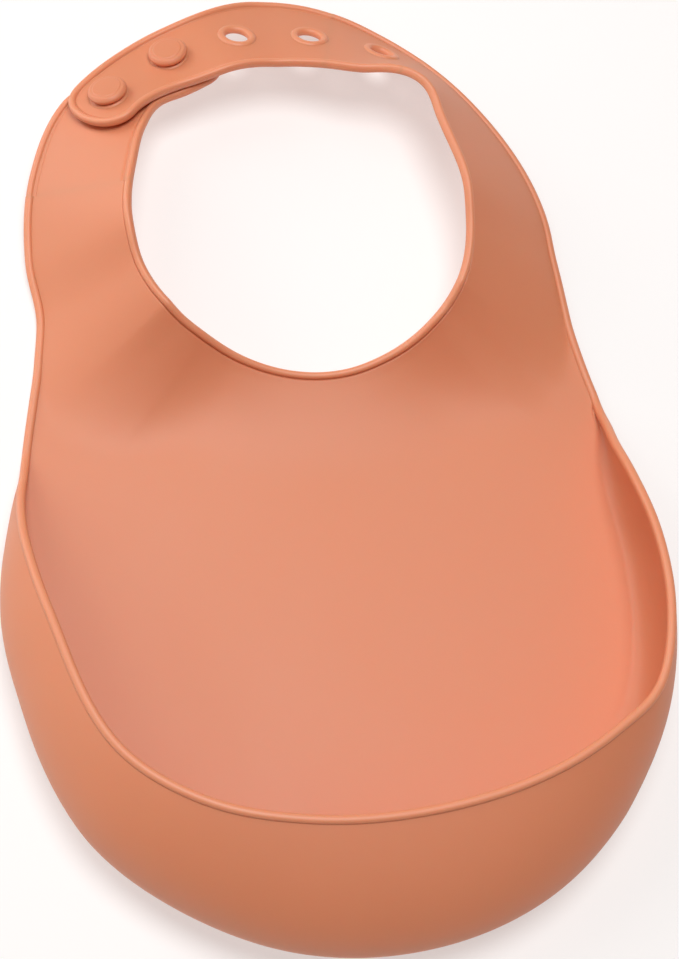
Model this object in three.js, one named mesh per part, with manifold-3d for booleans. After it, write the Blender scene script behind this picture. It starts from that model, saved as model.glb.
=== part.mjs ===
// Silicone bib with a scoop pouch and a press-stud neck strap, lying on its back.
// Millimetres. X is the wearer's left-right, +Y runs to the nape, +Z is the front. The back is at z = 0.
import * as THREE from 'three';
import Module from 'manifold-3d';

const wasm = await Module();
wasm.setup();
const { Manifold, Mesh } = wasm;

// ---- driving dimensions -------------------------------------------------------------------
const NECK_X = 5.77;               // centre of the neck opening
const NECK_Y = 73.06;
const SHEET = 2.0;                // silicone sheet thickness
const BEAD_W = 2.4;               // raised edge bead, width
const BEAD_T = 3.0;               // raised edge bead, thickness (flush with the back of the sheet)
const BACK = (BEAD_T - SHEET) / 2;          // bead centre above the sheet's middle
const RIM_W = 2.8;                // pouch rim bead
const BEAD_SIDES = 6;
const GAP = 0.15;                 // half of the parting gap between neighbouring nodes
const BEAD_GAP = 0.2;             // clearance between a bead and the sheet beside it
const OVER = 1.6;                 // pieces are built this many degrees past a parting, then cut back
const FOLD_Y = 8.06;               // line along which the chest folds over the pouch
const PEEL_MID = 157;             // the hole strap bends at these angles round the neck
const PEEL_END = 177;
const STUD_BEND = -115;           // the stud strap bends here
const POUCH_L = -54;              // angles at which the pouch wall starts
const POUCH_R = 53;
const LIFT = 3.6;                 // the hole strap lies this far above the stud strap
const EDGE_LIFT = 8.0;            // the strap's outer edge stands this far off the table at the nape
const CHEST_REACH = 35.0;         // how far the rise to the neck reaches over the chest
const HOLE_TIP = 229;             // where the rounded strap ends begin
const STUD_TIP = -157;
const TIP_REACH = 0.85;           // length of a rounded end, as a part of half its width
const HOLE_R = 3.75;              // eyelet hole
const RING_R = 6.6;               // eyelet ring
const RING_LOW = -1.0;            // its faces along the hole's axis, from the sheet's middle
const RING_EDGE = 1.2;
const RING_TOP = 1.7;
const OCCUPIED_R = 8.3;           // ring round a hole with a stud in it
const STEM_R = 3.4;
const STEM_TOP = 1.85;
const CAP_R = 6.5;
const CAP_LOW = 2.0;
const CAP_TOP = 4.7;
const PLATEAU_R = 4.5;            // raised middle of a stud's cap
const PLATEAU = 0.25;
const FREE_EYELETS = [[147.4, 74.5], [167, 71], [187.3, 69.5]];          // angle, radius
const STUDS = [[207, 70.2], [228, 72]];

// Outlines in polar form about the neck centre: angle from -Y, counter-clockwise, then radius.
const NECK = [[-170, 58], [-160, 56], [-150, 56.5], [-140, 59], [-128, 57], [-115, 54.5], [-90, 54],
  [-60, 52.5], [-40, 48.5], [20, 50], [60, 55], [90, 54], [118, 56.7], [130, 61.5], [140, 60],
  [150, 55.7], [165, 54.5], [180, 54.5], [195, 53.5], [226, 60], [245, 62]];
const OUTER = [[45, 140], [52, 117], [54, 115.5], [57, 110], [80, 90], [90, 88.5], [120, 85], [150, 87],
  [160, 88.5], [180, 88.5], [210, 81], [232, 87.3], [250, 87], [270, 86.5], [285, 88.5], [305, 117],
  [308, 124], [315, 140]];
// The hole strap ends narrower than the outline.
const HOLE_OUTER = [[150, 87], [170, 89], [180, 88.5], [195, 83], [210, 83], [245, 85]];
// Rise of the straps per millimetre towards the neck, and height of the chest at the neck.
const SLOPE = [[45, 0.2], [52, 0.26], [60, 0.46], [90, 0.88], [120, 1.12], [130, 1.32], [150, 0.86],
  [200, 0.44], [245, 0.6], [270, 0.82], [300, 0.44], [308, 0.26], [315, 0.2]];
const NECK_Z = [[-60, 25], [-30, 11], [0, 7], [30, 11], [60, 25]];
// Pouch rim: angle, radius, height. Bulge: how far the wall swells beyond the rim.
const RIM = [[-54, 117.5, 1.5], [-50, 128.5, 13], [-46, 138.5, 24], [-41, 149.5, 31], [-37, 158.5, 35],
  [-25, 189, 40], [-17.5, 197, 41.5], [-9, 199.5, 42], [0, 199.5, 42], [19, 194, 41], [25, 189, 39.5],
  [31, 173, 37.5], [37, 152.5, 33], [42, 135, 26], [46, 125.5, 17], [50, 120, 8], [53, 115.8, 1.5]];
const BULGE = [[-54, 0], [-49, 4], [-41, 16], [-34, 21], [-27, 23.3], [-17, 28.8], [-9, 35], [10, 32],
  [18, 22], [25, 10.5], [31, 8], [40, 8], [47, 5], [53, 0]];

// ---- maths --------------------------------------------------------------------------------
const rad = THREE.MathUtils.degToRad;
const deg = THREE.MathUtils.radToDeg;
const clamp = THREE.MathUtils.clamp;
const lerp = THREE.MathUtils.lerp;
const V = (x, y, z) => new THREE.Vector3(x, y, z);
const steps = (n, f) => Array.from({ length: n + 1 }, (_, i) => f(i / n));
const spread = (a0, a1, n, f) => steps(n, (t) => f(lerp(a0, a1, t)));

function smooth(lo, hi, x) {
  const t = clamp((x - lo) / (hi - lo), 0, 1);
  return t * t * (3 - 2 * t);
}

// Slope of a table's column at row j, from the rows on both sides of it.
function slopeAt(rows, j, k) {
  const rise = (i) => (rows[i + 1][k] - rows[i][k]) / (rows[i + 1][0] - rows[i][0]);
  if (j === 0) return rise(0);
  if (j === rows.length - 1) return rise(j - 1);
  const before = rows[j][0] - rows[j - 1][0];
  const after = rows[j + 1][0] - rows[j][0];
  return (rise(j - 1) * after + rise(j) * before) / (before + after);
}

// A smooth curve through the rows of a table.
function table(rows, at, k = 1) {
  const x = clamp(at, rows[0][0], rows[rows.length - 1][0]);
  let i = 0;
  while (i < rows.length - 2 && x >= rows[i + 1][0]) i++;
  const h = rows[i + 1][0] - rows[i][0];
  const s = (x - rows[i][0]) / h;
  const s2 = s * s;
  const s3 = s2 * s;
  return (2 * s3 - 3 * s2 + 1) * rows[i][k] + (s3 - 2 * s2 + s) * h * slopeAt(rows, i, k)
    + (3 * s2 - 2 * s3) * rows[i + 1][k] + (s3 - s2) * h * slopeAt(rows, i + 1, k);
}

// ---- the mid-surface of the bib -----------------------------------------------------------
const fullTurn = (a) => (a < 0 ? a + 360 : a);
const neckR = (a) => table(NECK, a);
const outerR = (a) => table(OUTER, fullTurn(a));
const holeOuter = (a) => table(HOLE_OUTER, a);
const studOuter = (a) => outerR(a) - 3.5 * smooth(128, 142, -a);
const fillet = (a) => 0.08 * table(RIM, a, 2);        // the floor starts to curve up this far inside the rim

// Height of the sheet's middle. The straps are a cone, straight from the outer edge up to the neck. Towards
// the middle of the chest the rise gets lower, shorter and more curved.
function height(a, r) {
  const back = fullTurn(a);
  const turn = a > 180 ? 360 - a : Math.abs(a);
  const across = outerR(a) - neckR(a);
  const strap = smooth(30, 80, turn);
  const raised = EDGE_LIFT * smooth(140, 205, back) * (1 - smooth(225, 290, back));
  const reach = lerp(CHEST_REACH, across, strap);
  const chestRise = table(NECK_Z, a > 180 ? a - 360 : a) - SHEET / 2;
  const rise = lerp(chestRise, across * table(SLOPE, back), smooth(40, 85, turn));
  const part = 1 - (r - neckR(a)) / reach;
  const up = Math.max(part, 0) ** (2 - strap) + Math.min(part, 0) * smooth(90, 120, turn);
  return SHEET / 2 + raised + rise * up;
}

const polar = (a, r, z) => V(NECK_X + r * Math.sin(rad(a)), NECK_Y - r * Math.cos(rad(a)), z);
const sheetPoint = (a, r) => polar(a, r, height(a, r));

function normalOf(f, a, r, da = 0.2, dr = 0.2) {
  const u = f(a + da, r).sub(f(a - da, r));
  const w = f(a, r + dr).sub(f(a, r - dr));
  return w.cross(u).normalize();
}

const sheetNormal = (a, r) => normalOf(sheetPoint, a, r);
const lifted = (a) => LIFT * smooth(176, 197, a);     // the hole strap rises over the stud strap
const holePoint = (a, r) => sheetPoint(a, r).addScaledVector(sheetNormal(a, r), lifted(a));

// Pouch wall: the floor at s = 0, the rim at s = 1.
function wallPoint(a, s) {
  const r = table(RIM, a, 1);
  const z = table(RIM, a, 2);
  const m = table(BULGE, a);
  const q = 1 - s;
  const b = [q ** 3, 3 * s * q ** 2, 3 * s ** 2 * q, s ** 3];
  return polar(a, r - fillet(a) * b[0] + m * (b[1] + 1.5 * b[2]), b[0] + b[1] + 0.6 * z * b[2] + z * b[3]);
}

// Outer limit of the flat panel: the floor line of the pouch, then the outline.
function panelR(a) {
  const end = a < 0 ? -POUCH_L : POUCH_R;
  return lerp(table(RIM, a, 1) - fillet(a) - GAP, outerR(a), smooth(end - 3, end + 0.5, Math.abs(a)));
}

// ---- solids -------------------------------------------------------------------------------
function solid(pts, tris) {
  let volume = 0;
  for (const [a, b, c] of tris) volume += pts[a].dot(pts[b].clone().cross(pts[c]));
  const order = volume < 0 ? ([a, b, c]) => [a, c, b] : (t) => t;
  return new Manifold(new Mesh({
    numProp: 3,
    vertProperties: new Float32Array(pts.flatMap((p) => [p.x, p.y, p.z])),
    triVerts: new Uint32Array(tris.flatMap(order)),
  }));
}

const quad = (tris, a, b, c, d) => tris.push([a, b, c], [a, c, d]);

// A three.js geometry as one closed solid: points in the same place become one point.
function welded(geometry) {
  const position = geometry.attributes.position;
  const seen = new Map();
  const pts = [];
  const id = [];
  for (let i = 0; i < position.count; i++) {
    const p = V(0, 0, 0).fromBufferAttribute(position, i);
    const key = p.toArray().map((x) => x.toFixed(4)).join();
    if (!seen.has(key)) {
      seen.set(key, pts.length);
      pts.push(p);
    }
    id.push(seen.get(key));
  }
  const tris = [];
  for (let i = 0; i < geometry.index.count; i += 3) {
    const t = [0, 1, 2].map((k) => id[geometry.index.getX(i + k)]);
    if (new Set(t).size === 3) tris.push(t);
  }
  return solid(pts, tris);
}

// A sheet from a grid of mid points and their normals.
function slab({ grid, normals }, half = SHEET / 2) {
  const nu = grid.length;
  const nv = grid[0].length;
  const pts = [];
  const tris = [];
  for (const side of [half, -half]) {
    grid.forEach((row, i) => row.forEach((p, j) => pts.push(p.clone().addScaledVector(normals[i][j], side))));
  }
  const top = (i, j) => i * nv + j;
  const low = (i, j) => nu * nv + i * nv + j;
  for (let i = 0; i < nu - 1; i++) {
    for (let j = 0; j < nv - 1; j++) {
      quad(tris, top(i, j), top(i + 1, j), top(i + 1, j + 1), top(i, j + 1));
      quad(tris, low(i, j), low(i, j + 1), low(i + 1, j + 1), low(i + 1, j));
    }
    quad(tris, top(i, 0), low(i, 0), low(i + 1, 0), top(i + 1, 0));
    quad(tris, top(i, nv - 1), top(i + 1, nv - 1), low(i + 1, nv - 1), low(i, nv - 1));
  }
  for (let j = 0; j < nv - 1; j++) {
    quad(tris, top(0, j), top(0, j + 1), low(0, j + 1), low(0, j));
    quad(tris, top(nu - 1, j), low(nu - 1, j), low(nu - 1, j + 1), top(nu - 1, j + 1));
  }
  return solid(pts, tris);
}

// Rounded bar of width w and thickness t, swept along a path of points and normals.
function sweep(path, w, t, lift) {
  const n = BEAD_SIDES;
  const m = path.length;
  const outer = 1 / Math.cos(Math.PI / n);            // the flats, not the corners, keep the thickness
  const pts = [];
  const tris = [];
  path.forEach(({ p, n: up }, i) => {
    const dir = path[Math.min(i + 1, m - 1)].p.clone().sub(path[Math.max(i - 1, 0)].p).normalize();
    const side = dir.clone().cross(up).normalize();
    const out = side.clone().cross(dir).normalize();
    for (let k = 0; k < n; k++) {
      const q = 2 * Math.PI * k / n;
      const c = Math.cos(q) * w / 2;
      const s = Math.sin(q) * outer * t / 2;
      pts.push(p.clone().addScaledVector(side, c).addScaledVector(out, lift + s));
    }
  });
  for (let i = 0; i < m - 1; i++) {
    for (let k = 0; k < n; k++) {
      const k2 = (k + 1) % n;
      quad(tris, i * n + k, i * n + k2, (i + 1) * n + k2, (i + 1) * n + k);
    }
  }
  const last = (m - 1) * n;
  for (let k = 1; k < n - 1; k++) {
    tris.push([0, k + 1, k], [last, last + k, last + k + 1]);
  }
  return solid(pts, tris);
}

// A bead, and a slightly bigger copy that clears the sheet beside it.
function bead(path, w = BEAD_W, t = BEAD_T, lift = BACK) {
  return { body: sweep(path, w, t, lift), clear: sweep(path, w + 2 * BEAD_GAP, t + 2 * BEAD_GAP, lift) };
}

// A turned piece from a (radius, height) profile, set on an axis.
function turned(profile, centre, axis, segments = 20) {
  const g = new THREE.LatheGeometry(profile.map(([x, y]) => new THREE.Vector2(x, y)), segments);
  g.applyQuaternion(new THREE.Quaternion().setFromUnitVectors(V(0, 1, 0), axis));
  g.translate(centre.x, centre.y, centre.z);
  return welded(g);
}

const disc = (r, lo, hi) => [[0, lo], [r, lo], [r, hi], [0, hi]];
const cut = (body, ...tools) => tools.reduce((b, t) => b.subtract(t), body);
const below = (body) => body.trimByPlane([0, -1, 0], -(FOLD_Y - GAP));
const above = (body) => body.trimByPlane([0, 1, 0], FOLD_Y + GAP);

// ---- assembly helpers ---------------------------------------------------------------------
const bib = new THREE.Group();
bib.name = 'silicone_bib';
const CHIP = 2;                   // mm3: slivers left by the cuts may be dropped up to this size

function add(name, body) {
  const [main, ...chips] = body.decompose().sort((p, q) => q.volume() - p.volume());
  if (chips.some((c) => c.volume() > CHIP)) throw new Error(`${name} came apart`);
  const { vertProperties, triVerts } = main.getMesh();
  const g = new THREE.BufferGeometry();
  g.setAttribute('position', new THREE.BufferAttribute(new Float32Array(vertProperties), 3));
  g.setIndex(new THREE.BufferAttribute(new Uint32Array(triVerts), 1));
  const mesh = new THREE.Mesh(g, new THREE.MeshStandardMaterial({ color: 0xd98a6c, roughness: 0.6 }));
  mesh.name = name;
  bib.add(mesh);
}

// A bead's middle: half a bead in from the edge at radius here, towards the other edge.
function edge(f, a, here, there) {
  const r = lerp(here, there, BEAD_W / 2 / f(a, here).distanceTo(f(a, there)));
  return { p: f(a, r), n: normalOf(f, a, r), a, r };
}
const innerEdge = (f, a, outer = outerR) => edge(f, a, neckR(a), outer(a));
const outerEdge = (f, a, outer = outerR) => edge(f, a, outer(a), neckR(a));

// Grid of a sheet whose rows are lists of [angle, radius].
const gridOf = (f, rows) => ({
  grid: rows.map((row) => row.map(([a, r]) => f(a, r))),
  normals: rows.map((row) => row.map(([a, r]) => normalOf(f, a, r))),
});

// Strap sheet between its two bead centres.
function ribbon(f, a0, a1, n) {
  const across = (a) => steps(5, (t) => [a, lerp(innerEdge(f, a).r, outerEdge(f, a).r, t)]);
  return gridOf(f, spread(a0, a1, n, across));
}

// Rounded strap end: the bead's middle, from the inner edge round to the outer edge.
function tipLine(f, start, sign, outer) {
  const inner = innerEdge(f, start, outer).r;
  const half = (outerEdge(f, start, outer).r - inner) / 2;
  return steps(12, (t) => {
    const r = inner + half * (1 - Math.cos(Math.PI * t));
    const a = start + sign * deg(TIP_REACH * half * Math.sin(Math.PI * t) ** 0.8 / r);
    return { p: f(a, r), n: normalOf(f, a, r), a, r };
  });
}

// Strap sheet from angle a0 that ends on its tip line.
function tipSheet(f, a0, start, sign, outer, n) {
  const line = tipLine(f, start, sign, outer);
  const first = line[0].r;
  const width = line[line.length - 1].r - first;
  const held = (a) => sign * Math.min(sign * a, sign * start);
  const row = (t) => line.map((end) => {
    const a = lerp(a0, end.a, t);
    const h = held(a);
    return [a, lerp(innerEdge(f, h, outer).r, outerEdge(f, h, outer).r, (end.r - first) / width)];
  });
  return gridOf(f, steps(n, row));
}

// Parting plane across a strap: blocks that take away what lies ahead of it, and what lies behind.
function parting(a) {
  const inner = sheetPoint(a, neckR(a));
  const outer = sheetPoint(a, outerR(a));
  const across = outer.clone().sub(inner).normalize();
  const along = across.clone().cross(sheetNormal(a, (neckR(a) + outerR(a)) / 2)).normalize();
  if (along.dot(sheetPoint(a + 1, neckR(a)).sub(inner)) < 0) along.negate();
  const block = (lo, hi) => {
    const centre = inner.clone().lerp(outer, 0.5).addScaledVector(along, (lo + hi) / 2);
    const place = new THREE.Matrix4().makeBasis(across, along, across.clone().cross(along));
    place.setPosition(centre);
    return welded(new THREE.BoxGeometry(64, hi - lo, 24).applyMatrix4(place));
  };
  return { ahead: block(-GAP, 6), behind: block(-6, GAP) };
}

// An eyelet's ring and the round pocket it takes out of the sheet.
function eyelet(f, [a, r], outerRadius = RING_R) {
  const centre = f(a, r);
  const axis = normalOf(f, a, r, 2, 2);
  const ring = [[HOLE_R, RING_LOW], [outerRadius, RING_LOW], [outerRadius, 1], [RING_R - 0.3, RING_EDGE],
    [HOLE_R + 0.9, RING_TOP], [HOLE_R, RING_EDGE], [HOLE_R, RING_LOW]];
  return {
    ring: turned(ring, centre, axis),
    pocket: turned(disc(outerRadius + BEAD_GAP, -4, 4), centre, axis),
  };
}

const bendStud = parting(STUD_BEND);
const peelMid = parting(PEEL_MID);
const peelEnd = parting(PEEL_END);

// ---- chest and pouch floor: one sheet parted on the fold line -------------------------------
// The rim bead runs on a little way into the outer edges, so that it clears the sheet there.
const rimPath = [
  ...spread(62, POUCH_R + 1, 5, (a) => outerEdge(sheetPoint, a).p),
  ...spread(POUCH_R - 1.5, POUCH_L + 1.5, 56, (a) => wallPoint(a, 1)),
  ...spread(POUCH_L - 1, -62, 5, (a) => outerEdge(sheetPoint, a).p),
].map((p) => ({ p, n: V(0, 0, 1) }));
const rim = bead(rimPath, RIM_W, RIM_W);
const neck = bead(spread(STUD_BEND - OVER, PEEL_MID + OVER, 44, (a) => innerEdge(sheetPoint, a)));
const right = bead(spread(50, PEEL_MID + OVER, 24, (a) => outerEdge(sheetPoint, a)));
const left = bead(spread(-50, STUD_BEND - OVER, 22, (a) => outerEdge(sheetPoint, a)));

// Wall lengths: first and last angle, and how many cells. The floor below them has the same rows.
const WALL_LEFT = [POUCH_L + 3, -31, 10];
const WALL_FRONT = [-31, 30, 16];
const WALL_RIGHT = [30, POUCH_R - 3, 10];
const same = (a) => a;
const chestAngles = [
  ...spread(STUD_BEND - OVER, POUCH_L - 4, 9, same), POUCH_L - 2, POUCH_L, POUCH_L + 1.5,
  ...spread(...WALL_LEFT, same),
  ...spread(...WALL_FRONT, same).slice(1),
  ...spread(...WALL_RIGHT, same).slice(1),
  POUCH_R - 2, POUCH_R - 0.5, POUCH_R + 1, ...spread(POUCH_R + 4, PEEL_MID + OVER, 15, same),
];
const chestRows = chestAngles.map((a) => {
  const inner = innerEdge(sheetPoint, a).r;
  const outer = a > POUCH_L && a < POUCH_R ? panelR(a) : outerEdge(sheetPoint, a).r;
  return steps(8, (t) => [a, lerp(inner, outer, t * (0.55 + 0.45 * t))]);
});
const eyelet1 = eyelet(sheetPoint, FREE_EYELETS[0]);
const chest = cut(slab(gridOf(sheetPoint, chestRows)), neck.clear, right.clear, left.clear, rim.clear,
  eyelet1.pocket, bendStud.behind, peelMid.ahead);
add('chest_panel', above(chest));
add('pouch_floor', below(chest));
add('neck_bead', cut(neck.body, bendStud.behind, peelMid.ahead));
add('edge_bead_right', above(cut(right.body, peelMid.ahead)));
add('edge_bead_left', above(cut(left.body, bendStud.behind)));
add('eyelet_1_ring', eyelet1.ring);

// ---- pouch wall in three lengths, and its rim -----------------------------------------------
const LAP = 0.05;                 // half of the parting between two lengths, in degrees
const floorGap = (a) => 2 * GAP * 0.05 / wallPoint(a, 0).distanceTo(wallPoint(a, 0.05));

function wallLength(a0, a1, n, first, last) {
  const angles = spread(a0, a1, n, same);
  angles[0] += first;
  angles[n] += last;
  const places = (a) => steps(7, (t) => lerp(floorGap(a), 1, t));
  const wall = slab({
    grid: angles.map((a) => places(a).map((s) => wallPoint(a, s))),
    normals: angles.map((a) => places(a).map((s) => normalOf(wallPoint, a, Math.min(s, 0.99), 0.2, 0.01))),
  });
  return cut(wall, rim.clear);
}

add('pouch_wall_left', wallLength(...WALL_LEFT, 0, -LAP));
add('pouch_wall_front', wallLength(...WALL_FRONT, LAP, -LAP));
add('pouch_wall_right', wallLength(...WALL_RIGHT, LAP, 0));
add('pouch_rim_bead', below(rim.body));

// ---- middle length of the hole strap --------------------------------------------------------
const middle = [PEEL_MID - OVER, PEEL_END + OVER];
const middleEnds = [peelMid.behind, peelEnd.ahead];
const middleIn = bead(spread(...middle, 7, (a) => innerEdge(sheetPoint, a)));
const middleOut = bead(spread(...middle, 7, (a) => outerEdge(sheetPoint, a)));
const middleSheet = slab(ribbon(sheetPoint, ...middle, 7));
const eyelet2 = eyelet(sheetPoint, FREE_EYELETS[1]);
add('hole_strap_mid', cut(middleSheet, middleIn.clear, middleOut.clear, eyelet2.pocket, ...middleEnds));
add('hole_strap_mid_inner_bead', cut(middleIn.body, ...middleEnds));
add('hole_strap_mid_outer_bead', cut(middleOut.body, ...middleEnds));
add('eyelet_2_ring', eyelet2.ring);

// ---- free end of the hole strap, which lies over the stud strap ----------------------------
const holeEnd = [PEEL_END - OVER, HOLE_TIP];
const endIn = bead(spread(...holeEnd, 12, (a) => innerEdge(holePoint, a, holeOuter)));
const endOut = bead(spread(...holeEnd, 12, (a) => outerEdge(holePoint, a, holeOuter)));
const endTip = bead(tipLine(holePoint, HOLE_TIP, 1, holeOuter).slice(1, -1));
const endSheet = slab(tipSheet(holePoint, ...holeEnd, 1, holeOuter, 12));
const eyelet3 = eyelet(holePoint, FREE_EYELETS[2]);
const [eyelet4, eyelet5] = STUDS.map((stud) => eyelet(holePoint, stud, OCCUPIED_R));
add('hole_strap_end', cut(endSheet, peelEnd.behind, endIn.clear, endOut.clear, endTip.clear,
  eyelet3.pocket, eyelet4.pocket, eyelet5.pocket));
add('hole_strap_end_inner_bead', cut(endIn.body, endTip.clear, peelEnd.behind));
add('hole_strap_end_outer_bead', cut(endOut.body, endTip.clear, peelEnd.behind));
add('hole_strap_tip_bead', endTip.body);
add('eyelet_3_ring', eyelet3.ring);
add('eyelet_4_ring', eyelet4.ring);
add('eyelet_5_ring', eyelet5.ring);

// ---- stud strap with its two mushroom studs ------------------------------------------------
const studEnd = [STUD_BEND + OVER, STUD_TIP];
const studIn = bead(spread(...studEnd, 10, (a) => innerEdge(sheetPoint, a, studOuter)));
const studOut = bead(spread(...studEnd, 10, (a) => outerEdge(sheetPoint, a, studOuter)));
const studTip = bead(tipLine(sheetPoint, STUD_TIP, -1, studOuter).slice(1, -1));
const studGrid = tipSheet(sheetPoint, ...studEnd, -1, studOuter, 10);
add('stud_strap', cut(slab(studGrid), bendStud.ahead, studIn.clear, studOut.clear, studTip.clear));
add('stud_strap_inner_bead', cut(studIn.body, studTip.clear, bendStud.ahead));
add('stud_strap_outer_bead', cut(studOut.body, studTip.clear, bendStud.ahead));
add('stud_strap_tip_bead', studTip.body);

const strapClear = slab(studGrid, SHEET / 2 + BEAD_GAP / 2);
const capProfile = [[0, CAP_LOW], [CAP_R - 0.6, CAP_LOW], [CAP_R, CAP_LOW + 0.7], [CAP_R, CAP_TOP - 1.2],
  [CAP_R - 0.8, CAP_TOP - PLATEAU], [PLATEAU_R + 0.3, CAP_TOP - PLATEAU], [PLATEAU_R, CAP_TOP], [0, CAP_TOP]];
STUDS.forEach(([a, r], k) => {
  const top = holePoint(a, r);
  const axis = normalOf(holePoint, a, r, 2, 2);
  const stem = cut(turned(disc(STEM_R, -LIFT - 1.6, STEM_TOP), top, axis), strapClear);
  const [main] = stem.decompose().sort((p, q) => q.volume() - p.volume());   // the part above the strap
  add(`stud_${k + 1}_stem`, main);
  add(`stud_${k + 1}_cap`, turned(capProfile, top, axis));
});

export default bib;
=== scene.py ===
"""Silicone bib with a scoop pouch: the visual model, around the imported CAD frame.

Lengths in the tables are millimetres, as in the part's own drawing; MM turns them into Blender's metres.
Angles go round the neck opening, in degrees from -Y, counter-clockwise seen from the front.
"""
import math

import bpy
import numpy as np
from mathutils import Matrix, Vector


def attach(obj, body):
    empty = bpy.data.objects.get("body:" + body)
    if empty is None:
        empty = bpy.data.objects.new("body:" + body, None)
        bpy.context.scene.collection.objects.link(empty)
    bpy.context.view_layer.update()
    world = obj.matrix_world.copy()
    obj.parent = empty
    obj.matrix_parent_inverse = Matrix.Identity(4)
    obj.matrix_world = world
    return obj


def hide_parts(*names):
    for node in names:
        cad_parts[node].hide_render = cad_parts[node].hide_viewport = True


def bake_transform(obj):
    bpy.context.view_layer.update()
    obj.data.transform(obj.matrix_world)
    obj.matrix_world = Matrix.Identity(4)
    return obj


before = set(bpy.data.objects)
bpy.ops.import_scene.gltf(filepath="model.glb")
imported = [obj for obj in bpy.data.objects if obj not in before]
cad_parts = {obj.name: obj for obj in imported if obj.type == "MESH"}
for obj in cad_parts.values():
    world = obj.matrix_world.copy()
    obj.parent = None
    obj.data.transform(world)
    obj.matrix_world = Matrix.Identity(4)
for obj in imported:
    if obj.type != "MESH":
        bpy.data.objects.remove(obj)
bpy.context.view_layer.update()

# ---- driving dimensions (mm, degrees) -----------------------------------------------------
MM = 0.001
NECK_X = 5.77                     # centre of the neck opening
NECK_Y = 73.06
SHEET = 2.0                       # silicone sheet thickness
BEAD_W = 2.4                      # raised edge bead, width
BEAD_T = 3.0                      # raised edge bead, thickness (flush with the back of the sheet)
RIM_W = 2.8                       # pouch rim bead, width
BACK = (BEAD_T - SHEET) / 2       # bead centre above the sheet's middle
FOLD_Y = 8.06                     # line along which the chest folds over the pouch
FOLD_REACH = 11.0                 # the silicone bends this far on either side of it
PEEL_MID = 157.0                  # the hole strap bends at these angles round the neck
PEEL_END = 177.0
STUD_BEND = -115.0                # the stud strap bends here
SEAM_SHOULDER = 138.0             # angles at which one shell ends and the next one starts
SEAM_MID = 161.7
SEAM_STUD = -105.0
POUCH_L = -54.0                   # angles at which the pouch wall starts
POUCH_R = 53.0
LIFT = 3.6                        # the hole strap lies this far above the stud strap
LIFT_STARTS = (176, 197)          # and climbs to that between these angles
EDGE_LIFT = 8.0                   # the strap's outer edge stands this far off the table at the nape
EDGE_RISES = (140, 205)           # it leaves the table between these angles
EDGE_FALLS = (225, 290)           # and comes back to it between these
CHEST_REACH = 35.0                # how far the rise to the neck reaches over the chest
STRAP_CONE = (30, 80)             # the rise turns from a curve into a cone, degrees from -Y on both sides
STRAP_SLOPE = (40, 85)            # its height changes over from NECK_Z to SLOPE
PAST_EDGE = (90, 120)             # the cone runs on beyond the outer edge
FILLET = 0.08                     # the floor curves up this far inside the rim, per mm of the rim's height
SWELL = 1.5                       # the wall's third control point, as a part of its bulge
SWELL_HIGH = 0.6                  # and of its height
STUD_NARROWER = 3.5               # the stud strap's outer edge ends this far inside the outline
STUD_NARROWS = (128, 142)
HOLE_TIP = 229.0                  # where the rounded strap ends begin
STUD_TIP = -157.0
TIP_REACH = 0.85                  # length of a rounded end, as a part of half its width
TIP_POWER = 0.8                   # below 1 the end is blunter than an ellipse
HOLE_R = 3.75                     # eyelet hole
RING_R = 6.6                      # eyelet ring
RING_T = 2.8
RING_LIFT = 0.25                  # the ring's middle above the sheet's
STEM_R = 3.4
CAP_R = 6.5
CAP_LOW = 2.0
CAP_TOP = 4.7
PLATEAU_R = 4.5                   # raised middle of a stud's cap
PLATEAU = 0.25
EYELETS = {1: (147.4, 74.5), 2: (167.0, 71.0), 3: (187.3, 69.5), 4: (207.0, 70.2), 5: (228.0, 72.0)}

# Outlines about the neck's centre: angle, radius.
NECK = [(-170, 58), (-160, 56), (-150, 56.5), (-140, 59), (-128, 57), (-115, 54.5), (-90, 54),
        (-60, 52.5), (-40, 48.5), (20, 50), (60, 55), (90, 54), (118, 56.7), (130, 61.5), (140, 60),
        (150, 55.7), (165, 54.5), (180, 54.5), (195, 53.5), (226, 60), (245, 62)]
OUTER = [(45, 140), (52, 117), (54, 115.5), (57, 110), (80, 90), (90, 88.5), (120, 85), (150, 87),
         (160, 88.5), (180, 88.5), (210, 81), (232, 87.3), (250, 87), (270, 86.5), (285, 88.5),
         (305, 117), (308, 124), (315, 140)]
# The hole strap ends narrower than the outline.
HOLE_OUTER = [(150, 87), (170, 89), (180, 88.5), (195, 83), (210, 83), (245, 85)]
# Rise of the straps per millimetre towards the neck, and height of the chest at the neck.
SLOPE = [(45, 0.2), (52, 0.26), (60, 0.46), (90, 0.88), (120, 1.12), (130, 1.32), (150, 0.86),
         (200, 0.44), (245, 0.6), (270, 0.82), (300, 0.44), (308, 0.26), (315, 0.2)]
NECK_Z = [(-60, 25), (-30, 11), (0, 7), (30, 11), (60, 25)]
# Pouch rim: angle, radius, height. Bulge: how far the wall swells beyond the rim.
RIM = [(-54, 117.5, 1.5), (-50, 128.5, 13), (-46, 138.5, 24), (-41, 149.5, 31), (-37, 158.5, 35),
       (-25, 189, 40), (-17.5, 197, 41.5), (-9, 199.5, 42), (0, 199.5, 42), (19, 194, 41),
       (25, 189, 39.5), (31, 173, 37.5), (37, 152.5, 33), (42, 135, 26), (46, 125.5, 17), (50, 120, 8),
       (53, 115.8, 1.5)]
BULGE = [(-54, 0), (-49, 4), (-41, 16), (-34, 21), (-27, 23.3), (-17, 28.8), (-9, 35), (10, 32),
         (18, 22), (25, 10.5), (31, 8), (40, 8), (47, 5), (53, 0)]


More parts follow.
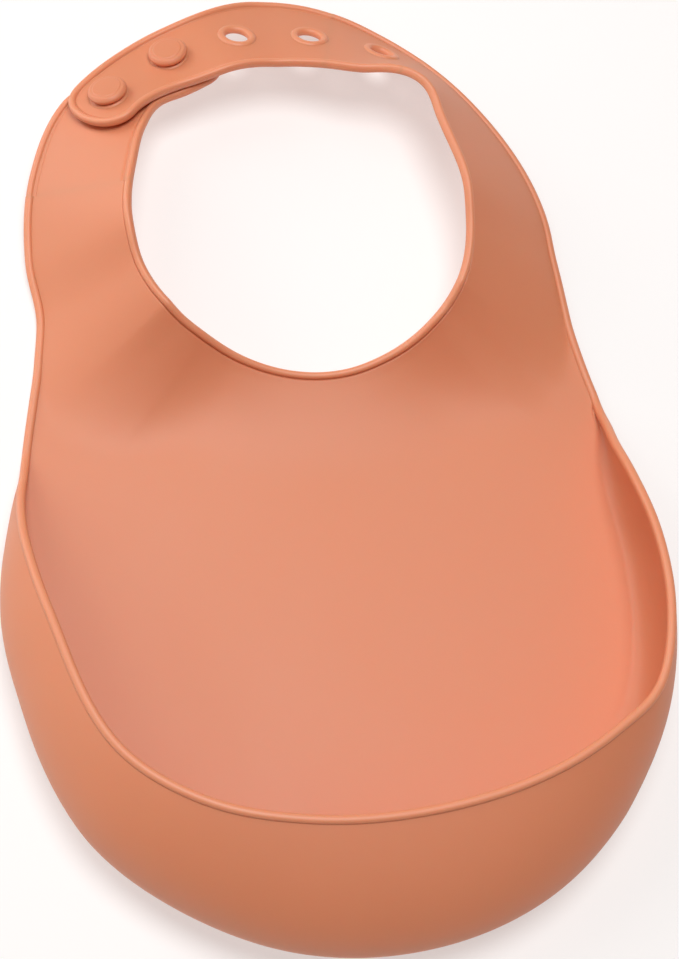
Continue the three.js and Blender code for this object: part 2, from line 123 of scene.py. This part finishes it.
# ---- maths --------------------------------------------------------------------------------
def table(rows, x, column=1):
    """A smooth curve through the rows of a table."""
    rows = np.array(rows, float)
    knots = rows[:, 0]
    values = rows[:, column]
    slopes = np.gradient(values, knots)
    x = np.clip(np.asarray(x, float), knots[0], knots[-1])
    i = np.clip(np.searchsorted(knots, x, side="right") - 1, 0, len(knots) - 2)
    h = knots[i + 1] - knots[i]
    s = (x - knots[i]) / h
    return ((2 * s**3 - 3 * s**2 + 1) * values[i] + (s**3 - 2 * s**2 + s) * h * slopes[i]
            + (3 * s**2 - 2 * s**3) * values[i + 1] + (s**3 - s**2) * h * slopes[i + 1])


def smooth(lo, hi, x):
    t = np.clip((np.asarray(x, float) - lo) / (hi - lo), 0, 1)
    return t * t * (3 - 2 * t)


def full_turn(a):
    a = np.asarray(a, float)
    return np.where(a < 0, a + 360, a)


def unit(v):
    return v / np.linalg.norm(v, axis=-1, keepdims=True)


# ---- the bib's surface --------------------------------------------------------------------
def neck_r(a):
    return table(NECK, a)


def outer_r(a):
    return table(OUTER, full_turn(a))


def hole_outer(a):
    return table(HOLE_OUTER, a)


def stud_outer(a):
    return outer_r(a) - STUD_NARROWER * smooth(*STUD_NARROWS, -np.asarray(a))


def height(a, r):
    """Middle of the sheet above the table.

    The straps are a cone, straight from the outer edge up to the neck. Towards the middle of the chest
    the rise gets lower, shorter and more curved.
    """
    a = np.asarray(a, float)
    back = full_turn(a)
    turn = np.where(a > 180, 360 - a, np.abs(a))
    across = outer_r(a) - neck_r(a)
    raised = EDGE_LIFT * smooth(*EDGE_RISES, back) * (1 - smooth(*EDGE_FALLS, back))
    strap = smooth(*STRAP_CONE, turn)
    reach = CHEST_REACH * (1 - strap) + across * strap
    chest_rise = table(NECK_Z, np.where(a > 180, a - 360, a)) - SHEET / 2
    rise = chest_rise + (across * table(SLOPE, back) - chest_rise) * smooth(*STRAP_SLOPE, turn)
    part = 1 - (r - neck_r(a)) / reach
    up = np.maximum(part, 0) ** (2 - strap) + np.minimum(part, 0) * smooth(*PAST_EDGE, turn)
    return SHEET / 2 + raised + rise * up


def polar(a, r, z):
    t = np.radians(a)
    x = NECK_X + r * np.sin(t)
    y = NECK_Y - r * np.cos(t)
    return np.stack(np.broadcast_arrays(x, y, z), -1)


def sheet_point(a, r):
    return polar(a, r, height(a, r))


def normal_of(f, a, r, da=0.2, dr=0.2):
    """Normal of the surface f, from points da degrees and dr mm away."""
    return unit(np.cross(f(a, r + dr) - f(a, r - dr), f(a + da, r) - f(a - da, r)))


def hole_point(a, r):
    """The hole strap's sheet, which rises over the stud strap."""
    lift = LIFT * smooth(*LIFT_STARTS, a)
    return sheet_point(a, r) + normal_of(sheet_point, a, r) * np.asarray(lift)[..., None]


def fillet(a):
    """How far inside the rim the floor starts to curve up."""
    return FILLET * table(RIM, a, 2)


def wall_point(a, s):
    """Pouch wall, a Bezier curve from the floor at s = 0 to the rim at s = 1."""
    r = table(RIM, a, 1)
    z = table(RIM, a, 2)
    bulge = table(BULGE, a)
    q = 1 - s
    b = [q**3, 3 * s * q**2, 3 * s**2 * q, s**3]
    radius = r - fillet(a) * b[0] + bulge * (b[1] + SWELL * b[2])
    return polar(a, radius, SHEET / 2 * (b[0] + b[1]) + SWELL_HIGH * z * b[2] + z * b[3])


def inset(f, a, r, other):
    """Radius of the bead's middle: half a bead in from the edge at r, towards the other edge."""
    length = np.linalg.norm(f(a, r) - f(a, other), axis=-1)
    return r + (other - r) * (BEAD_W / 2) / length


def bead_radii(f, a, outer=outer_r):
    """Radii of the middles of the neck's bead and the outer bead."""
    return inset(f, a, neck_r(a), outer(a)), inset(f, a, outer(a), neck_r(a))


# ---- mesh builders ------------------------------------------------------------------------
BEAD_SIDES = 18
TURN_SEGMENTS = 72                # round a stud
CORNER_STEPS = 5                  # along a rounded corner of its profile


def mesh_object(name, points, faces, material):
    mesh = bpy.data.meshes.new(name)
    mesh.from_pydata((np.asarray(points) * MM).tolist(), [], [tuple(f) for f in faces])
    mesh.validate()
    mesh.materials.append(material)
    mesh.shade_smooth()
    obj = bpy.data.objects.new(name, mesh)
    bpy.context.scene.collection.objects.link(obj)
    return obj


def border(quads):
    """Edges that only one quad has, in that quad's direction."""
    edges = {}
    for quad in quads.tolist():
        for start, end in zip(quad, quad[1:] + quad[:1]):
            if (end, start) in edges:
                del edges[(end, start)]
            else:
                edges[(start, end)] = True
    return list(edges)


def slab(name, grid, normals, material, keep, sink):
    """A sheet from a grid of middle points: two skins and an edge wall round every border.

    keep says which cells are there, and sink how far the front skin lies below its flat height.
    The edge wall has its own points, so it doesn't tilt the skins' shading.
    """
    nu, nv = grid.shape[:2]
    count = nu * nv
    top = grid + normals * (SHEET / 2 - sink)[..., None]
    bottom = grid - normals * (SHEET / 2)
    points = np.concatenate([top.reshape(-1, 3), bottom.reshape(-1, 3)])
    index = np.arange(count).reshape(nu, nv)
    corners = (index[:-1, :-1], index[1:, :-1], index[1:, 1:], index[:-1, 1:])
    front = np.stack([corner[keep] for corner in corners], 1)
    along = grid[1, 0] - grid[0, 0]
    across = grid[0, 1] - grid[0, 0]
    if np.cross(along, across) @ normals[0, 0] <= 0:
        front = front[:, ::-1]
    back = front[:, ::-1] + count
    wall = []
    wall_points = []
    for start, end in border(front):
        first = len(points) + len(wall_points)
        wall_points += [points[start], points[end], points[end + count], points[start + count]]
        wall.append([first + 3, first + 2, first + 1, first])
    points = np.concatenate([points, wall_points])
    used, faces = np.unique(np.concatenate([front, back, wall]), return_inverse=True)
    return mesh_object(name, points[used], faces.reshape(-1, 4).tolist(), material)


def sweep(name, path, normals, width, thick, lift, material, closed=False, power=2.5):
    """A rounded bead swept along a path, with its middle lift above it.

    The path of a closed one doesn't repeat its first point. A power of 2 gives an ellipse, and more a
    squarer section.
    """
    if closed:
        tangent = unit(np.roll(path, -1, 0) - np.roll(path, 1, 0))
    else:
        tangent = unit(np.gradient(path, axis=0))
    side = unit(np.cross(tangent, normals))
    up = unit(np.cross(side, tangent))
    q = 2 * np.pi * (np.arange(BEAD_SIDES) + 0.5) / BEAD_SIDES
    c = np.sign(np.cos(q)) * np.abs(np.cos(q)) ** (2 / power) * width / 2
    s = np.sign(np.sin(q)) * np.abs(np.sin(q)) ** (2 / power) * thick / 2
    ring = path[:, None] + side[:, None] * c[None, :, None] + up[:, None] * (lift + s)[None, :, None]
    points = ring.reshape(-1, 3)
    count = len(path)
    faces = []
    for i in range(count if closed else count - 1):
        here = i * BEAD_SIDES
        ahead = (i + 1) % count * BEAD_SIDES
        for j in range(BEAD_SIDES):
            turn = (j + 1) % BEAD_SIDES
            faces.append([here + j, ahead + j, ahead + turn, here + turn])
    if not closed:
        first_end = list(range(len(points), len(points) + BEAD_SIDES))
        faces.append(first_end)
        faces.append([j + BEAD_SIDES for j in reversed(first_end)])
        points = np.concatenate([points, ring[0], ring[-1]])       # own points, so the ends shade flat
    return mesh_object(name, points, faces, material)


def lathe(name, profile, centre, axis, material):
    """A turned piece: profile is (radius, height) along axis from centre, and may meet the axis."""
    off_axis = [0.0, 1.0, 0.2]
    x = unit(np.cross(off_axis, axis))
    y = np.cross(axis, x)
    points = []
    faces = []
    rows = []
    for r, h in profile:
        if r == 0:
            rows.append([len(points)] * TURN_SEGMENTS)
            points.append(centre + axis * h)
            continue
        rows.append(list(range(len(points), len(points) + TURN_SEGMENTS)))
        for k in range(TURN_SEGMENTS):
            t = 2 * math.pi * k / TURN_SEGMENTS
            points.append(centre + axis * h + (x * math.cos(t) + y * math.sin(t)) * r)
    for low, high in zip(rows, rows[1:]):
        for k in range(TURN_SEGMENTS):
            ahead = (k + 1) % TURN_SEGMENTS
            face = [low[k], low[ahead], high[ahead], high[k]]
            faces.append([p for i, p in enumerate(face) if p not in face[:i]])
    return mesh_object(name, np.array(points), faces, material)


def rounded(corners, radius):
    """A profile whose inner corners are rounded off by up to radius."""
    out = [corners[0]]
    for before, here, after in zip(corners, corners[1:], corners[2:]):
        b, h, a = (np.array(p, float) for p in (before, here, after))
        cut = min(radius, np.linalg.norm(b - h) * 0.45, np.linalg.norm(a - h) * 0.45)
        p = h + unit(b - h) * cut
        q = h + unit(a - h) * cut
        for t in np.linspace(0, 1, CORNER_STEPS):
            out.append(tuple((1 - t) ** 2 * p + 2 * t * (1 - t) * h + t * t * q))
    return out + [corners[-1]]


# ---- materials ----------------------------------------------------------------------------
def noise(tree, scale, detail):
    """A noise texture in the piece's own space."""
    space = tree.nodes.new("ShaderNodeTexCoord")
    texture = tree.nodes.new("ShaderNodeTexNoise")
    texture.inputs["Scale"].default_value = scale
    texture.inputs["Detail"].default_value = detail
    tree.links.new(space.outputs["Object"], texture.inputs["Vector"])
    return texture


def silicone(name, colour, roughness):
    """Matte moulded silicone: fine skin texture, slow drift of colour and roughness."""
    mat = bpy.data.materials.new(name)
    mat.use_nodes = True
    tree = mat.node_tree
    shader = tree.nodes["Principled BSDF"]
    shader.inputs["Specular IOR Level"].default_value = 0.7
    shader.inputs["Subsurface Weight"].default_value = 0.3
    shader.inputs["Subsurface Radius"].default_value = (1.0, 0.3, 0.15)
    shader.inputs["Subsurface Scale"].default_value = 0.003
    drift = noise(tree, 14, 3)
    tint = tree.nodes.new("ShaderNodeMix")
    tint.data_type = "RGBA"
    tint.inputs["A"].default_value = (*[c * 0.965 for c in colour], 1)
    tint.inputs["B"].default_value = (*[min(c * 1.035, 1) for c in colour], 1)
    tree.links.new(drift.outputs["Fac"], tint.inputs["Factor"])
    tree.links.new(tint.outputs["Result"], shader.inputs["Base Color"])
    rough = tree.nodes.new("ShaderNodeMapRange")
    rough.inputs["To Min"].default_value = roughness - 0.05
    rough.inputs["To Max"].default_value = roughness + 0.07
    tree.links.new(drift.outputs["Fac"], rough.inputs["Value"])
    tree.links.new(rough.outputs["Result"], shader.inputs["Roughness"])
    grain = noise(tree, 1100, 2)
    bump = tree.nodes.new("ShaderNodeBump")
    bump.inputs["Strength"].default_value = 0.06
    bump.inputs["Distance"].default_value = 0.0002
    tree.links.new(grain.outputs["Fac"], bump.inputs["Height"])
    tree.links.new(bump.outputs["Normal"], shader.inputs["Normal"])
    return mat


SKIN = silicone("silicone_sheet", (0.706, 0.261, 0.132), 0.54)
# The beads' colour is a lighter copy of the sheet's: painted highlight on the raised rims.
BEAD = silicone("silicone_bead", (0.760, 0.295, 0.155), 0.48)
STUD = silicone("silicone_stud", (0.706, 0.261, 0.134), 0.5)


# ---- bend lines: where each piece bends ---------------------------------------------------
def bend_line(a, reach):
    """Two points (m), reach mm before and after the parting across a strap, towards rising angle."""
    inner = sheet_point(a, neck_r(a))
    outer = sheet_point(a, outer_r(a))
    middle = (inner + outer) / 2
    along = unit(np.cross(outer - inner, normal_of(sheet_point, a, (neck_r(a) + outer_r(a)) / 2)))
    ahead = sheet_point(a + 1, neck_r(a)) - inner
    along = along if along @ ahead > 0 else -along
    return (middle - along * reach) * MM, (middle + along * reach) * MM


def place(obj, where, slot, *nodes):
    """Attach a piece to its body, or bake its transform where it spans a bend, and hide the CAD nodes it
    stands for; slot is not used.
    """
    if isinstance(where, str):
        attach(obj, where)
    else:
        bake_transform(obj)
    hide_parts(*nodes)
    return obj


FOLD = ((0, (FOLD_Y - FOLD_REACH) * MM, 0), (0, (FOLD_Y + FOLD_REACH) * MM, 0))
BODY = ("pouch", "chest", *FOLD)
STRAP_MID = ("chest", "strap_middle", *bend_line(PEEL_MID, 4.0))
STRAP_END = ("strap_middle", "strap_end", *bend_line(PEEL_END, 4.5))
STRAP_STUD = ("chest", "stud_end", *reversed(bend_line(STUD_BEND, 6.5)))


# ---- sheet --------------------------------------------------------------------------------
# Columns of points beside a bead, in mm from its middle: close together where the groove is.
NEAR_EDGE = np.array([0, 0.9, 1.1, 1.2, 1.3, 1.4, 1.5, 1.65, 1.9, 2.4, 3.2, 4.4])
MIDDLE = 22                       # cells across the rest of a strap
WALL_CELLS = 29                   # cells up the rest of the pouch wall
SHOULDER_STEP = 0.75              # degrees between rows of points
POUCH_STEP = 0.35
STRAP_STEP = 0.6
BEAD_STEP = 0.8
RIM_STEP = 0.5
TIP_STEPS = 60                    # along the line round a strap's end
STRAP_R = 72                      # middle of the straps, to turn degrees into mm
TIP_ROWS = 8                      # rows that the tip's groove reaches, besides those at its edge
OPEN_R = 5.4                      # the sheet is left out this far round an eyelet's middle
GROOVE = 0.35                     # depth of the fine groove beside each bead
GROOVE_OFF = 0.12                 # its bottom is this far from the bead
GROOVE_W = 0.17


def open_cells(grid, holes):
    """Cells to keep: those whose middle is not inside an eyelet."""
    middle = (grid[:-1, :-1] + grid[1:, 1:]) / 2
    keep = np.ones(middle.shape[:2], bool)
    for centre in holes:
        keep &= np.linalg.norm(middle - centre, axis=-1) > OPEN_R
    return keep


def columns(width):
    """Places across a sheet, close together beside its two beads, as fractions of each row's width."""
    near = NEAR_EDGE / width[:, None]
    far = 1 - near[:, ::-1]
    t = np.linspace(0, 1, MIDDLE + 1)[1:-1]
    middle = near[:, -1:] + (far[:, :1] - near[:, -1:]) * t
    return np.concatenate([near, middle, far], 1)


def groove(distance, bead_width=BEAD_W):
    return GROOVE * np.exp(-(((distance - bead_width / 2 - GROOVE_OFF) / GROOVE_W) ** 2))


def body_floor(angles):
    """Chest and pouch floor: middle points, their radii and the depth of the grooves.

    The floor ends on the pouch wall's foot, and beside the pouch on the outer bead.
    """
    inner, edge = bead_radii(sheet_point, angles)
    end = np.where(angles < 0, -POUCH_L, POUCH_R)
    open_edge = smooth(end - 3, end + 0.5, np.abs(angles))
    outer = (table(RIM, angles, 1) - fillet(angles)) * (1 - open_edge) + edge * open_edge
    width = np.linalg.norm(sheet_point(angles, outer) - sheet_point(angles, inner), axis=-1)
    t = columns(width)
    radius = inner[:, None] + (outer - inner)[:, None] * t
    dip = groove(t * width[:, None]) + groove((1 - t) * width[:, None]) * open_edge[:, None]
    return sheet_point(angles[:, None], radius), radius, dip


def body_wall(angles):
    """Pouch wall from its foot to the rim: middle points and the depth of the groove under the rim."""
    speed = 3 * np.hypot(SWELL * table(BULGE, angles), (1 - SWELL_HIGH) * table(RIM, angles, 2))
    rim_side = NEAR_EDGE[::-1] * np.minimum(1, 0.5 * speed / NEAR_EDGE[-1])[:, None]
    s_near = 1 - rim_side / speed[:, None]
    s_far = s_near[:, :1] * np.linspace(0, 1, WALL_CELLS + 1)[1:-1]
    s = np.concatenate([s_far, s_near], 1)
    return wall_point(angles[:, None], s), groove((1 - s) * speed[:, None], RIM_W)


def body_shell():
    """Chest, pouch floor and pouch wall as one sheet, from the left shoulder round to the right."""
    angles = np.concatenate([np.arange(SEAM_STUD, POUCH_L, SHOULDER_STEP),
                             np.arange(POUCH_L, POUCH_R, POUCH_STEP),
                             np.arange(POUCH_R, SEAM_SHOULDER, SHOULDER_STEP), [SEAM_SHOULDER]])
    floor, radius, dip = body_floor(angles)
    wall, wall_dip = body_wall(angles)
    grid = np.concatenate([floor, wall], 1)
    n = np.cross(np.gradient(grid, axis=1), np.gradient(grid, axis=0))
    beyond = (angles < POUCH_L - 2) | (angles > POUCH_R + 2)
    n[beyond, :floor.shape[1]] = normal_of(sheet_point, angles[beyond, None], radius[beyond])
    n = np.where(np.linalg.norm(n, axis=-1, keepdims=True) < 1e-9, [0, 0, 1.0], n)
    in_pouch = (angles > POUCH_L + 0.1) & (angles < POUCH_R - 0.1)
    keep = np.ones((len(angles) - 1, grid.shape[1] - 1), bool)
    keep[:, floor.shape[1] - 1:] = (in_pouch[1:] & in_pouch[:-1])[:, None]
    return slab("bib_shell", grid, unit(n), SKIN, keep, np.concatenate([dip, wall_dip], 1))


def strap_shell(name, f, a0, a1, holes):
    """A length of strap between two seams."""
    angles = np.append(np.arange(a0, a1, STRAP_STEP), a1)
    inner, edge = bead_radii(f, angles)
    width = np.linalg.norm(f(angles, edge) - f(angles, inner), axis=-1)
    t = columns(width)
    radius = inner[:, None] + (edge - inner)[:, None] * t
    grid = f(angles[:, None], radius)
    dip = groove(np.minimum(t, 1 - t) * width[:, None])
    return slab(name, grid, normal_of(f, angles[:, None], radius), SKIN, open_cells(grid, holes), dip)


def tip_path(f, start, sign, outer):
    """Middle line of the bead round a strap's rounded end, and its normals."""
    inner, edge = bead_radii(f, start, outer)
    q = np.linspace(0, np.pi, TIP_STEPS + 1)[1:-1]
    half = (edge - inner) / 2
    r = (inner + edge) / 2 - half * np.cos(q)
    reach = TIP_REACH * half * np.sin(q) ** TIP_POWER
    a = start + sign * np.degrees(reach / r)
    return f(a, r), normal_of(f, a, r)


def tip_shell(name, f, a0, start, sign, outer, holes):
    """A strap's sheet from the angle a0, that ends on its tip's bead."""
    inner, edge = bead_radii(f, start, outer)
    width = np.linalg.norm(f(start, edge) - f(start, inner))
    v = columns(np.array([width]))[0]
    half = (edge - inner) / 2
    tip_r = inner + (edge - inner) * v
    round_off = (1 - ((tip_r - inner - half) / half) ** 2).clip(0) ** (TIP_POWER / 2)
    tip_a = start + sign * np.degrees(TIP_REACH * half * round_off / tip_r)
    rows = int(abs(start - a0) / STRAP_STEP) + 1
    end_cells = NEAR_EDGE[::-1] / (abs(start - a0) * math.radians(1) * STRAP_R)
    t = np.concatenate([np.linspace(0, 1 - end_cells[0], rows)[:-1], 1 - end_cells])[:, None]
    a = a0 + (tip_a[None, :] - a0) * t
    held = sign * np.minimum(sign * a, sign * start)
    inner, edge = bead_radii(f, held, outer)
    radius = inner + (edge - inner) * v[None, :]
    grid = f(a, radius)
    dip = np.repeat(groove(np.minimum(v, 1 - v) * width)[None, :], len(t), 0)
    line = tip_path(f, start, sign, outer)[0]
    near_tip = slice(-len(NEAR_EDGE) - TIP_ROWS, None)
    dip[near_tip] = groove(np.linalg.norm(grid[near_tip, :, None] - line, axis=-1).min(-1))
    return slab(name, grid, normal_of(f, a, radius), SKIN, open_cells(grid, holes), dip)


def surface_of(k):
    """The surface that eyelet k lies on: the first one is on the shoulder."""
    return sheet_point if k == 1 else hole_point


hole_middles = {k: surface_of(k)(*EYELETS[k]) for k in EYELETS}
place(body_shell(), BODY, "sheet_silicone", "chest_panel", "pouch_floor",
      "pouch_wall_left", "pouch_wall_front", "pouch_wall_right")
place(strap_shell("hole_strap_root_shell", sheet_point, SEAM_SHOULDER, SEAM_MID, [hole_middles[1]]),
      STRAP_MID, "sheet_silicone", "chest_panel", "hole_strap_mid")
place(tip_shell("hole_strap_end_shell", hole_point, SEAM_MID, HOLE_TIP, 1, hole_outer,
                [hole_middles[k] for k in (2, 3, 4, 5)]),
      STRAP_END, "sheet_silicone", "hole_strap_mid", "hole_strap_end")
place(tip_shell("stud_strap_shell", sheet_point, SEAM_STUD, STUD_TIP, -1, stud_outer, []),
      STRAP_STUD, "sheet_silicone", "stud_strap")


# ---- beads --------------------------------------------------------------------------------
def edge_path(f, angles, inner, outer=outer_r):
    """Middle line of the bead along the neck (inner) or the outer edge, and its normals."""
    r = bead_radii(f, angles, outer)[0 if inner else 1]
    return f(angles, r), normal_of(f, angles, r)


def bead(name, parts, where, *nodes):
    path = np.concatenate([p for p, _ in parts])
    normals = np.concatenate([n for _, n in parts])
    obj = sweep(name, path, normals, BEAD_W, BEAD_T, BACK, BEAD)
    return place(obj, where, "bead_silicone", *nodes)


def arc(a0, a1, step=BEAD_STEP):
    count = max(int(abs(a1 - a0) / step), 2)
    return np.linspace(a0, a1, count + 1)


def resample(path, normals, spacing):
    """A bead's line and its normals, with a point every spacing mm."""
    old = np.concatenate([[0], np.cumsum(np.linalg.norm(np.diff(path, axis=0), axis=1))])
    new = np.linspace(0, old[-1], int(old[-1] / spacing) + 1)
    even = [np.stack([np.interp(new, old, rows[:, k]) for k in range(3)], -1) for rows in (path, normals)]
    return even[0], unit(even[1])


def outline_bead():
    """Outer edge from one shoulder, round the pouch rim, to the other shoulder: one bead."""
    right_path, right_normals = edge_path(sheet_point, arc(SEAM_SHOULDER, POUCH_R + 1), False)
    left_path, left_normals = edge_path(sheet_point, arc(POUCH_L - 1, SEAM_STUD), False)
    rim = wall_point(arc(POUCH_R - 1.5, POUCH_L + 1.5, RIM_STEP), 1.0)
    upright = np.tile([0.0, 0.0, 1.0], (len(rim), 1))
    path, normals = resample(np.concatenate([right_path, rim, left_path]),
                             np.concatenate([right_normals, upright, left_normals]), 1.1)
    for _ in range(8):                       # ease the corner where the edge turns into the rim
        path[1:-1] = (path[:-2] + 2 * path[1:-1] + path[2:]) / 4
        normals[1:-1] = unit((normals[:-2] + 2 * normals[1:-1] + normals[2:]) / 4)
    obj = sweep("outline_bead", path, normals, RIM_W, BEAD_T, BACK, BEAD)
    return place(obj, BODY, "bead_silicone", "edge_bead_left", "edge_bead_right", "pouch_rim_bead")


bead("neck_bead_front", [edge_path(sheet_point, arc(SEAM_STUD, SEAM_SHOULDER), True)], BODY, "neck_bead")
bead("neck_bead_right", [edge_path(sheet_point, arc(SEAM_SHOULDER, SEAM_MID), True)], STRAP_MID,
     "neck_bead", "hole_strap_mid_inner_bead")
bead("edge_bead_shoulder_right", [edge_path(sheet_point, arc(SEAM_SHOULDER, SEAM_MID), False)], STRAP_MID,
     "edge_bead_right", "hole_strap_mid_outer_bead")
bead("hole_strap_bead", [edge_path(hole_point, arc(SEAM_MID, HOLE_TIP), True, hole_outer),
                         tip_path(hole_point, HOLE_TIP, 1, hole_outer),
                         edge_path(hole_point, arc(HOLE_TIP, SEAM_MID), False, hole_outer)], STRAP_END,
     "hole_strap_end_inner_bead", "hole_strap_end_outer_bead", "hole_strap_tip_bead",
     "hole_strap_mid_inner_bead", "hole_strap_mid_outer_bead")
bead("stud_strap_bead", [edge_path(sheet_point, arc(SEAM_STUD, STUD_TIP), True, stud_outer),
                         tip_path(sheet_point, STUD_TIP, -1, stud_outer),
                         edge_path(sheet_point, arc(STUD_TIP, SEAM_STUD), False, stud_outer)], STRAP_STUD,
     "stud_strap_inner_bead", "stud_strap_outer_bead", "stud_strap_tip_bead")
outline_bead()


# ---- eyelets and studs --------------------------------------------------------------------
RING_STEPS = 48                   # points round an eyelet
FOOT = LIFT + 1.5                 # a stud's foot lies this far below the hole strap's middle


def eyelet(k, body):
    """A raised rounded ring round a hole, slightly domed on both faces, that follows the bent sheet."""
    a, r = EYELETS[k]
    f = surface_of(k)
    per_degree = np.linalg.norm(f(a + 1, r) - f(a - 1, r)) / 2
    per_mm = np.linalg.norm(f(a, r + 1) - f(a, r - 1)) / 2
    t = np.linspace(0, 2 * np.pi, RING_STEPS + 1)[:-1]
    middle = (HOLE_R + RING_R) / 2
    around = (a + middle * np.cos(t) / per_degree, r + middle * np.sin(t) / per_mm)
    obj = sweep(f"eyelet_{k}", f(*around), normal_of(f, *around), RING_R - HOLE_R, RING_T, RING_LIFT, BEAD,
                closed=True, power=2.2)
    place(obj, body, "bead_silicone", f"eyelet_{k}_ring")


def stud(k, hole):
    """A mushroom stud that stands through one of the holes."""
    axis = normal_of(hole_point, *EYELETS[hole], 2.0, 2.0)
    profile = rounded([(0, -FOOT), (STEM_R + 1.2, -FOOT), (STEM_R, -FOOT + 2.2), (STEM_R, CAP_LOW),
                       (CAP_R - 0.6, CAP_LOW), (CAP_R, CAP_LOW + 0.7), (CAP_R, CAP_TOP - 1.2),
                       (CAP_R - 0.8, CAP_TOP - PLATEAU), (PLATEAU_R + 0.3, CAP_TOP - PLATEAU),
                       (PLATEAU_R, CAP_TOP), (0, CAP_TOP)], 0.9)
    obj = lathe(f"stud_{k}", profile, hole_middles[hole], axis, STUD)
    place(obj, "stud_end", "stud_silicone", f"stud_{k}_stem", f"stud_{k}_cap")


eyelet(1, "chest")
eyelet(2, "strap_middle")
for number in (3, 4, 5):
    eyelet(number, "strap_end")
stud(1, 4)
stud(2, 5)


# ---- stage, light, camera -----------------------------------------------------------------
LAMP_SIZE = 0.6
CAMERA_TURN = math.radians(-32)        # round the bib, from -Y
CAMERA_RISE = math.radians(68)         # above the table
CAMERA_ROLL = math.radians(24)
CAMERA_DISTANCE = 0.68
CAMERA_TARGET = Vector((0.00897, -0.00994, 0))
CAMERA_LENS = 79.77


def stage_floor():
    bpy.ops.mesh.primitive_plane_add(size=6, location=(0, 0, -0.0002))
    floor = bpy.context.object
    floor.name = "floor"
    mat = bpy.data.materials.new("pale_floor")
    mat.use_nodes = True
    shader = mat.node_tree.nodes["Principled BSDF"]
    shader.inputs["Base Color"].default_value = (0.5, 0.5, 0.5, 1)
    shader.inputs["Roughness"].default_value = 0.9
    shader.inputs["Emission Color"].default_value = (1, 1, 1, 1)
    shader.inputs["Emission Strength"].default_value = 0.5
    floor.data.materials.append(mat)


def surroundings():
    """Dim warm light from all round, as from a room."""
    world = bpy.data.worlds.new("studio")
    world.use_nodes = True
    background = world.node_tree.nodes["Background"]
    background.inputs["Color"].default_value = (1, 0.66, 0.5, 1)
    background.inputs["Strength"].default_value = 0.2
    bpy.context.scene.world = world


def area_light(name, location, power):
    """A round lamp that faces the bib."""
    data = bpy.data.lights.new(name, "AREA")
    data.shape = "DISK"
    data.size = LAMP_SIZE
    data.energy = power
    lamp = bpy.data.objects.new(name, data)
    lamp.location = location
    lamp.rotation_euler = (-Vector(location)).to_track_quat("-Z", "Y").to_euler()
    bpy.context.scene.collection.objects.link(lamp)


def camera():
    back = Vector((math.sin(CAMERA_TURN) * math.cos(CAMERA_RISE),
                   -math.cos(CAMERA_TURN) * math.cos(CAMERA_RISE), math.sin(CAMERA_RISE)))
    level = Vector((0, 0, 1)).cross(back).normalized()
    above = back.cross(level)
    right = level * math.cos(CAMERA_ROLL) + above * math.sin(CAMERA_ROLL)
    up = above * math.cos(CAMERA_ROLL) - level * math.sin(CAMERA_ROLL)
    data = bpy.data.cameras.new("camera")
    data.lens = CAMERA_LENS
    data.sensor_width = 36
    data.clip_start = 0.01
    cam = bpy.data.objects.new("camera", data)
    spot = CAMERA_TARGET + back * CAMERA_DISTANCE
    cam.matrix_world = Matrix(((right.x, up.x, back.x, spot.x), (right.y, up.y, back.y, spot.y),
                               (right.z, up.z, back.z, spot.z), (0, 0, 0, 1)))
    bpy.context.scene.collection.objects.link(cam)
    bpy.context.scene.camera = cam


stage_floor()
surroundings()
area_light("overhead", (0, 0.1, 1.3), 11)
area_light("window_high", (-0.65, 0.65, 0.92), 2.4)
area_light("window_low", (-0.86, 0.86, 0.44), 3.6)
area_light("side", (-1.13, 0, 0.65), 1.4)
camera()
bpy.context.scene.view_settings.view_transform = "Standard"
